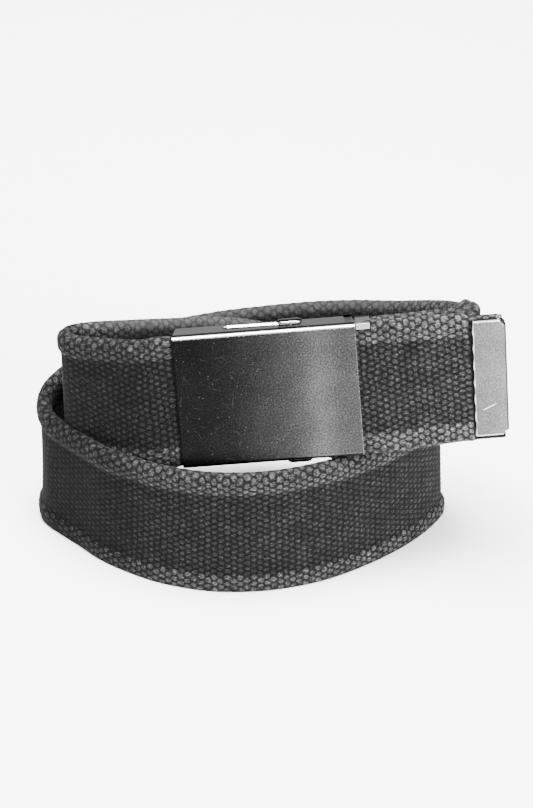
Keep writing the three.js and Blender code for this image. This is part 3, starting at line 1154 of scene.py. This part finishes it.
wedge_outline = [
    (-wedge_over, plate_top - slot_rim - wedge_over),
    (slot_rim + wedge_over, plate_top + wedge_over),
    (-wedge_over, plate_top + wedge_over),
]
wedge = prism("wedge", wedge_outline, slot_start_x, rod_x, along_slot_wall)
print("slot from", slot_start_x / mm, "to", rod_x / mm, "mm")

# %% [markdown]
# The wedge takes off the outer rim of the upper slot's rear wall. That narrow slope is
# what shines in the photograph as a white strip beside the rod.

# %% Cut the plate and break its edges
plate_edge_round = 0.1 * mm
combine(plate, [slot, notch, wedge], "DIFFERENCE")
plate_edges = round_edges(plate, plate_edge_round, sharpest=50)
smooth_bends(plate)
plate.data.transform(buckle_in_frame)
print("plate's rounded edges:", plate_edges, "faces:", len(plate.data.polygons))

# %% [markdown]
# ## The rod and the clamp
# The rod is a plain bar with two oval heads that stand off the flanges. The heads are
# well rounded, like rivets. The clamp is stamped from thinner sheet, so its solid is
# copied and only its edges are rounded.

# %% Sizes of the rod
rod_neck_diameter = 2.4 * mm
rod_head_length = 7.6 * mm
rod_head_depth = 3.8 * mm
rod_head_height = 1.0 * mm
rod_head_round = 0.5 * mm
rod_head_rings = 11
neck_overlap = 0.5 * mm
rod_drop = 0.7 * mm
rod_steps = 32


def round_bar(name, diameter, low, high):
    """A cylinder that stands in the rod's place."""
    radius = diameter / 2
    turns = np.linspace(0, 2 * math.pi, rod_steps, endpoint=False)
    circle = [(rod_x + radius * math.cos(t), rod_middle + radius * math.sin(t)) for t in turns]
    return prism(name, circle, low, high)


def rod_head(name, low):
    """An oval head with fully rounded rims, as stacked outlines."""
    half = (rod_head_length - rod_head_depth) / 2
    rings = []
    for turn in np.linspace(-math.pi / 2, math.pi / 2, rod_head_rings):
        depth = rod_head_depth - 2 * rod_head_round * (1 - math.cos(turn))
        rise = rod_head_round if turn <= 0 else rod_head_height - rod_head_round
        level = low + rise + rod_head_round * math.sin(turn)
        outline = stadium(rod_x - half, rod_middle, rod_x + half, rod_middle, depth)
        rings.append([(x, y, level) for x, y in outline])
    return stacked(name, rings)


print("rod diameter in mm:", round(rod_diameter / mm, 1))

# %% Build the rod
upper_head_low = plate_top + gap
lower_head_high = -plate_top - gap - rod_drop
bar_reach = plate_top - flange_thickness - gap
rod = round_bar("friction_rod_rounded", rod_diameter, -bar_reach, bar_reach)
neck = round_bar(
    "neck", rod_neck_diameter, lower_head_high - neck_overlap, upper_head_low + neck_overlap,
)
upper_head = rod_head("upper_head", upper_head_low)
lower_head = rod_head("lower_head", lower_head_high - rod_head_height)
combine(rod, [neck, upper_head, lower_head], "UNION")
rod.data.shade_smooth()
rod.data.set_sharp_from_angle(angle=math.radians(40))
rod.data.transform(buckle_in_frame)
print("rod faces", len(rod.data.polygons))

# %% Round the clamp's edges
clamp_edge_round = 0.2 * mm
clamp_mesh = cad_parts["end_clamp"].data.copy()
clamp_mesh.name = "end_clamp_rounded"
clamp_mesh.materials.clear()
clamp = object_of(clamp_mesh)
clamp_edges = round_edges(clamp, clamp_edge_round, sharpest=40)
smooth_bends(clamp)
print("clamp's rounded edges:", clamp_edges, "faces:", len(clamp.data.polygons))

# %% [markdown]
# ## The buckle's plating
# The plate is satin gunmetal, with fine specks and a few light scratches. A painted
# reflection makes it dark on the left and paler to the right, with a paler stripe.
# The pattern is laid in the buckle's own frame, so it stays on the plate from every side.

# %% Places and masks in a piece's own frame


def coordinates_in(tree, own_frame):
    """Place in a piece's own frame, in millimetres."""
    place = add_node(tree, "ShaderNodeTexCoord").outputs["Object"]
    turned = own_frame.to_3x3().inverted().to_euler()
    moved = add_node(tree, "ShaderNodeVectorMath", (
        (0, place), (1, tuple(own_frame.translation)),
    ), operation="SUBTRACT").outputs["Vector"]
    rotated = add_node(tree, "ShaderNodeVectorRotate", (
        ("Vector", moved), ("Rotation", tuple(turned)),
    ), rotation_type="EULER_XYZ").outputs["Vector"]
    return add_node(tree, "ShaderNodeVectorMath", (
        (0, rotated), ("Scale", 1 / mm),
    ), operation="SCALE").outputs["Vector"]


def facing(tree, own_frame):
    """1 where the surface looks along the piece's front, falling to 0 sideways."""
    normal = add_node(tree, "ShaderNodeTexCoord").outputs["Normal"]
    front = tuple(own_frame.to_3x3() @ Vector((0, -1, 0)))
    along_front = add_node(tree, "ShaderNodeVectorMath", (
        (0, normal), (1, front),
    ), operation="DOT_PRODUCT").outputs["Value"]
    return ease(tree, along_front, 0.2, 0.8)


def within(tree, value, low, high, soft=0.12):
    """1 where a value is between two others, in millimetres, with soft ends."""
    return product(
        tree, ease(tree, value, low - soft, low + soft),
        ease(tree, value, high + soft, high - soft),
    )


print("buckle's front looks along", [
    round(c, 2) for c in buckle_in_frame.to_3x3() @ Vector((0, -1, 0))
])

# %% [markdown]
# A hair scratch is the thin line between two cells of a Voronoi pattern. The place is
# bent by a slow noise first, so that the lines curve, and another noise breaks them
# off, or they would close into a net.

# %% Hair scratches
scratch_scale, scratch_width = 0.13, 0.011
bend_scale, bend_reach = 0.16, 5.0
break_scale, break_low, break_high = 0.35, 0.52, 0.62


def hair_scratches(tree, place):
    """Fine curved scratches, each broken off where a slow noise is low: 0 to 1."""
    bent = add_node(tree, "ShaderNodeTexNoise", (
        ("Vector", place), ("Scale", bend_scale), ("Detail", 1.0),
    )).outputs["Color"]
    bent = add_node(tree, "ShaderNodeVectorMath", (
        (0, bent), ("Scale", bend_reach),
    ), operation="SCALE").outputs["Vector"]
    moved = add_node(tree, "ShaderNodeVectorMath", (
        (0, place), (1, bent),
    ), operation="ADD").outputs["Vector"]
    lines = add_node(tree, "ShaderNodeTexVoronoi", (
        ("Vector", moved), ("Scale", scratch_scale),
    ), feature="DISTANCE_TO_EDGE").outputs["Distance"]
    keep = noise(tree, place, break_scale, detail=1.0)
    return product(
        tree, ease(tree, lines, scratch_width, 0.0), ease(tree, keep, break_low, break_high),
    )


print("scratches are about", round(1 / scratch_scale, 1), "mm apart")

# %% Scratches and dots on the front
dot_scale, dot_edge, dot_core = 0.6, 0.12, 0.05
scratch_strength, mark_strength = 0.35, 0.5
scratched_steel = 0.15


def marked(tree, place, colour, looks_forward):
    """A colour with hair scratches and small dots, on the front only."""
    dots = add_node(tree, "ShaderNodeTexVoronoi", (
        ("Vector", place), ("Scale", dot_scale),
    )).outputs["Distance"]
    scratches = product(tree, hair_scratches(tree, place), scratch_strength)
    marks = largest(tree, scratches, ease(tree, dots, dot_edge, dot_core))
    marks = product(tree, marks, product(tree, looks_forward, mark_strength))
    return blend_colours(tree, marks, colour, grey(scratched_steel))


print("dots are about", round(1 / dot_scale, 1), "mm apart")

# %% Plating material
# where the painted reflection grows paler to the right, and its paler stripe, in millimetres
pale_from, pale_to = -25.0, 19.0
band_middle, band_reach = 15.5, 9.0
cloud_scale, cloud_contrast = 0.11, 0.8
speck_scale, speck_contrast = 1.9, 3.8
speck_rim, speck_gloss, speck_bump = 1.2, 0.25, 0.03 * mm
# grey of worn metal with a painted highlight, and grey of painted shade
worn_and_highlight_grey, painted_shade_grey = 0.4, 0.003


def plating(name, shade, slope, band, painted_light_off_front, roughness, wear):
    """Satin plating; slope and band say how much a painted reflection pales the right and a
    stripe.
    """
    material, tree, shader = new_material(name)
    place = coordinates_in(tree, buckle_in_frame)
    axes = add_node(tree, "ShaderNodeSeparateXYZ", ((0, place),)).outputs
    specks = noise(tree, place, speck_scale, detail=2.0, roughness=0.8)
    clouds = noise(tree, place, cloud_scale, detail=3.0)
    # painted reflection: paler to the right and in a stripe
    reflection_to_right = ease(tree, axes["X"], pale_from, pale_to)
    from_reflection_band = calculate(tree, "ABSOLUTE", calculate(tree, "SUBTRACT", axes["X"], band_middle))
    stops = total(
        tree, product(tree, reflection_to_right, slope),
        product(tree, ease(tree, from_reflection_band, band_reach, 0.0), band),
        about_zero(tree, clouds, cloud_contrast), about_zero(tree, specks, speck_contrast),
    )
    looks_forward = facing(tree, buckle_in_frame)
    colour = grey_from_stops(tree, stops, shade)
    colour = marked(tree, place, colour, looks_forward)
    # painted light: faces that do not look forward, such as the flange's top, take an even lit
    # grey
    colour = blend_colours(tree, rest_of(tree, looks_forward), colour, grey(painted_light_off_front))
    # the bright places are worn metal with a painted highlight; the dark places are painted shade
    worn_and_highlight, painted_shade_mask = wear(tree, axes, looks_forward, about_zero(tree, specks, speck_rim))
    colour = blend_colours(tree, painted_shade_mask, colour, grey(painted_shade_grey))
    colour = blend_colours(tree, worn_and_highlight, colour, grey(worn_and_highlight_grey))
    bump = add_node(tree, "ShaderNodeBump", (
        ("Height", specks), ("Strength", 0.3), ("Distance", speck_bump),
    ))
    rough = total(tree, roughness, about_zero(tree, specks, speck_gloss))
    tree.links.new(colour, shader.inputs["Base Color"])
    tree.links.new(rough, shader.inputs["Roughness"])
    tree.links.new(bump.outputs["Normal"], shader.inputs["Normal"])
    shader.inputs["Metallic"].default_value = 1.0
    shader.inputs["Specular Tint"].default_value = grey(0.4)
    return material


print("the pale stripe is at x in mm:", band_middle)

# %% [markdown]
# The plating wears where hands and cloth rub it. The plate's upper bend, a little of
# its right end and the cut walls of the slots are paled, as worn metal and as a painted
# highlight. Painted shade darkens a thin line behind the upper bend, the lower bend and
# the left end. The clamp's lip is paled the same way, and its lug and lower half get
# painted shade. The front of the rod's upper head gets a painted highlight, and the
# rod's lower half painted shade.

# %% Worn places with painted highlights, and painted shade
top_mm = plate_top / mm
end_mm = plate_length / mm / 2
bend_mm = bend_radius / mm
far = 100.0

# how far the paled places and the painted shade reach, in millimetres, and how strong they are
bright_end, bright_end_share = 0.1, 0.35
bright_bend_height, bright_bend_inset = 0.9, 0.45
slot_wall_from, slot_wall_height = 2.5, 0.8
painted_shade_height, shade_before_bend, shade_past_bend = 0.4, 0.3, 1.5
lower_bend_shade, left_end_shade, painted_shade_share = 1.0, 0.15, 0.8
lip_height, lip_depth = 2.5, 1.7
lug_height, lug_from = 0.7, 7.5


def plate_wear_and_painted_light(tree, axes, looks_forward, rough_edge):
    """Paled places of the plate, worn metal with a painted highlight, and its painted shade."""
    x = total(tree, axes["X"], rough_edge)
    z = total(tree, axes["Z"], rough_edge)
    # worn metal with a painted highlight at the right end, on the upper bend and on the slots'
    # cut walls
    right_end = within(tree, x, end_mm - bright_end, far)
    upper_bend = product(
        tree, within(tree, z, top_mm - bright_bend_height, far),
        within(tree, axes["Y"], -far, bend_mm - bright_bend_inset),
    )
    cut_wall = product(
        tree, ease(tree, looks_forward, 0.02, 0.1),
        within(tree, axes["Y"], slot_wall_from, far),
        within(tree, calculate(tree, "ABSOLUTE", axes["Z"]), top_mm - slot_wall_height, far),
    )
    # painted shade: a thin line behind the upper bend, the lower bend and the left end
    behind_bend = product(
        tree, within(tree, axes["Z"], top_mm - painted_shade_height, far),
        within(tree, axes["Y"], bend_mm - shade_before_bend, bend_mm + shade_past_bend),
    )
    lower_bend = within(tree, axes["Z"], -far, -top_mm + lower_bend_shade)
    left_end = within(tree, axes["X"], -far, -end_mm + left_end_shade)
    bright_places = largest(tree, product(tree, right_end, bright_end_share), upper_bend, cut_wall)
    ends_in_shade = product(tree, largest(tree, lower_bend, left_end), painted_shade_share)
    return bright_places, largest(tree, behind_bend, ends_in_shade)


def clamp_wear_and_painted_light(tree, axes, looks_forward, rough_edge):
    """The clamp's lip, worn metal with a painted highlight, and its painted shade."""
    y = total(tree, axes["Y"], rough_edge)
    # worn metal with a painted highlight on the lip
    lip = product(
        tree, within(tree, axes["Z"], top_mm - lip_height, far),
        within(tree, y, -far, lip_depth),
    )
    # painted shade on the lug and on the clamp's lower half
    lug = product(
        tree, within(tree, axes["Z"], top_mm - lug_height, far),
        within(tree, axes["Y"], lug_from, far),
    )
    return lip, largest(tree, lug, within(tree, axes["Z"], -far, 0.0))


def rod_painted_light(tree, axes, looks_forward, rough_edge):
    """A painted highlight on the front of the rod's upper head, and painted shade on its lower
    half.
    """
    head = within(tree, axes["Z"], top_mm, far)
    shine = product(tree, head, ease(tree, looks_forward, 0.35, 0.9))
    return shine, within(tree, axes["Z"], -far, 0.0)


print("plate's half length in mm:", round(end_mm, 1))

# %% Paint the buckle
# for each piece, the faces off the front take a painted lit grey
plate_paint = plating(
    "gunmetal_plating", shade=0.0068, slope=1.9, band=0.4, painted_light_off_front=0.14,
    roughness=0.36, wear=plate_wear_and_painted_light,
)
clamp_paint = plating(
    "clamp_plating", shade=0.09, slope=0.0, band=0.0, painted_light_off_front=0.2,
    roughness=0.34, wear=clamp_wear_and_painted_light,
)
rod_paint = plating(
    "rod_plating", shade=0.015, slope=0.0, band=0.0, painted_light_off_front=0.015,
    roughness=0.28, wear=rod_painted_light,
)
metal_pieces = (
    (plate, "buckle_plate", plate_paint, "gunmetal"),
    (rod, "friction_rod", rod_paint, "dark_steel"),
    (clamp, "end_clamp", clamp_paint, "dark_steel"),
)
for piece, node, paint, slot_name in metal_pieces:
    piece.data.materials.append(paint)
    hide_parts(node)
    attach(piece, "root")
print("metal pieces:", [piece.name for piece, *others in metal_pieces])

# %% [markdown]
# ## The metal tip
# The tip is one sheet folded round the end of the tail. The fold is at its outer end,
# and the other edge is crimped: it is pressed into the webbing in shallow waves. The
# sheet's section is lofted up the tip in fine rows, and the crimped edge of each row
# moves with the wave. The outer corners are cut off.

# %% Section of the tip
crimp_pitch = 5.7 * mm
crimp_wave = 0.13 * mm
crimp_depth = 0.3 * mm
crimp_width = 1.1 * mm
lip_inset = 0.12 * mm
lip_turn = 0.35 * mm
lip_rise = 0.1 * mm
inner_lip = 0.05 * mm
inner_crimp_share = 0.6
fold_radius = 0.9 * mm
fold_steps = 5
leaf_outer = web_thickness / 2 + gap + tip_sheet
leaf_inner = leaf_outer - tip_sheet


def tip_section(height):
    """The folded sheet at one height: x along the strap, y through it, once round."""
    half = tip_height / 2
    cut = max(0.0, tip_top_corner - (half - height), tip_bottom_corner - (half + height))
    right = tip_length - cut
    inner_right = right - tip_sheet
    left = crimp_wave * math.sin(2 * math.pi * height / crimp_pitch)
    lip_y = leaf_outer - crimp_depth
    lip = [
        (left + lip_inset, lip_y - lip_inset),
        (left + lip_turn, lip_y + lip_rise),
        (left + crimp_width, leaf_outer),
    ]
    fold_x, fold_y = right - fold_radius, leaf_outer - fold_radius
    fold = [
        (fold_x + fold_radius * math.sin(turn), fold_y + fold_radius * math.cos(turn))
        for turn in np.linspace(0, math.pi / 2, fold_steps)
    ]
    inner = [
        (left + inner_lip, leaf_inner - crimp_depth * inner_crimp_share),
        (left + crimp_width, leaf_inner),
        (inner_right, leaf_inner),
    ]
    front = [(x, -y) for x, y in lip + fold]
    back = [(x, y) for x, y in reversed(lip + fold)]
    return front + back + inner + [(x, -y) for x, y in reversed(inner)]


print("tip's thickness in mm:", round(2 * leaf_outer / mm, 2))

# %% Build the tip
tip_row_step = 0.35 * mm
tip_rows = round(tip_height / tip_row_step)
tip_heights = np.linspace(-tip_height / 2, tip_height / 2, tip_rows + 1)
tip_rings = [[(x, y, height) for x, y in tip_section(height)] for height in tip_heights]
tip = stacked("tip_clip_crimped", tip_rings)
work = bmesh.new()
work.from_mesh(tip.data)
bmesh.ops.triangulate(work, faces=[face for face in work.faces if len(face.verts) > 4])
work.to_mesh(tip.data)
work.free()
tip.data.shade_smooth()
tip.data.set_sharp_from_angle(angle=math.radians(40))
tip.data.transform(tip_in_frame)
print("tip faces", len(tip.data.polygons))

# %% [markdown]
# The tip is plain steel, light grey and satin, a little mottled by handling. Its rims
# are paled, as worn steel and as a painted highlight; painted shade darkens its fold,
# and its back leaf is darker.

# %% Rims and scratch of the tip
tip_paint, tree, tip_shader = new_material("pale_steel")
place = coordinates_in(tree, tip_in_frame)
tip_axes = add_node(tree, "ShaderNodeSeparateXYZ", ((0, place),)).outputs
grain_scale, grain_contrast, grain_rim = 1.7, 3.0, 0.8
mottle_scale, mottle_contrast = 0.14, 0.8
grain = noise(tree, place, grain_scale, detail=2.0, roughness=0.8)
mottle = noise(tree, place, mottle_scale, detail=3.0)
rough_edge = about_zero(tree, grain, grain_rim)
from_left = total(tree, tip_axes["X"], rough_edge)
from_middle = total(tree, tip_axes["Z"], rough_edge)
tip_half = tip_height / mm / 2
tip_end = tip_length / mm
rim_width, bottom_rim_share = 0.35, 0.6
corner_size = 1.3
fold_width = 0.6

# worn steel with a painted highlight on the rims and the lower outer corner
top_rim = within(tree, from_middle, tip_half - rim_width, far)
bottom_rim = product(
    tree, within(tree, from_middle, -far, -tip_half + rim_width), bottom_rim_share,
)
corner = product(
    tree, within(tree, from_left, tip_end - corner_size, far),
    within(tree, from_middle, -far, -tip_half + corner_size),
)
crimped_rim = within(tree, from_left, -far, rim_width)
# the back leaf is darker, and painted shade darkens the fold
back_leaf = within(tree, tip_axes["Y"], 0.0, far)
fold_end = within(tree, tip_axes["X"], tip_end - fold_width, far)
rims = product(
    tree, largest(tree, crimped_rim, top_rim, bottom_rim, corner), rest_of(tree, back_leaf),
)

scratch_slope, scratch_middle = 0.45, 5.0
scratch_low, scratch_high = -9.4, -9.1
scratch_from, scratch_to = 2.6, 6.4
scratch_line = calculate(tree, "SUBTRACT", tip_axes["Z"], product(
    tree, calculate(tree, "SUBTRACT", tip_axes["X"], scratch_middle), scratch_slope,
))
scratch = product(
    tree, within(tree, total(tree, scratch_line, rough_edge), scratch_low, scratch_high),
    within(tree, tip_axes["X"], scratch_from, scratch_to),
)
print("nodes for the tip's masks:", len(tree.nodes))

# %% Tip material
tip_shade = 0.09
# grey of the fold's painted shade and the darker back leaf; bright grey of the rims' wear and
# painted highlight, and of the scratch
dark_fold_and_back_leaf, bright_steel = 0.03, 0.7
tip_stops = total(
    tree, about_zero(tree, grain, grain_contrast), about_zero(tree, mottle, mottle_contrast),
)
tip_colour = grey_from_stops(tree, tip_stops, tip_shade)
tip_colour = blend_colours(
    tree, largest(tree, fold_end, back_leaf), tip_colour, grey(dark_fold_and_back_leaf),
)
tip_colour = blend_colours(tree, largest(tree, rims, scratch), tip_colour, grey(bright_steel))
bump = add_node(tree, "ShaderNodeBump", (
    ("Height", grain), ("Strength", 0.3), ("Distance", speck_bump),
))
tree.links.new(tip_colour, tip_shader.inputs["Base Color"])
tree.links.new(bump.outputs["Normal"], tip_shader.inputs["Normal"])
tip_shader.inputs["Metallic"].default_value = 1.0
tip_shader.inputs["Specular Tint"].default_value = grey(0.3)
tip_shader.inputs["Roughness"].default_value = 0.42
tip.data.materials.append(tip_paint)
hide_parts("tip_clip")
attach(tip, "root")
print("tip material:", tip_paint.name)
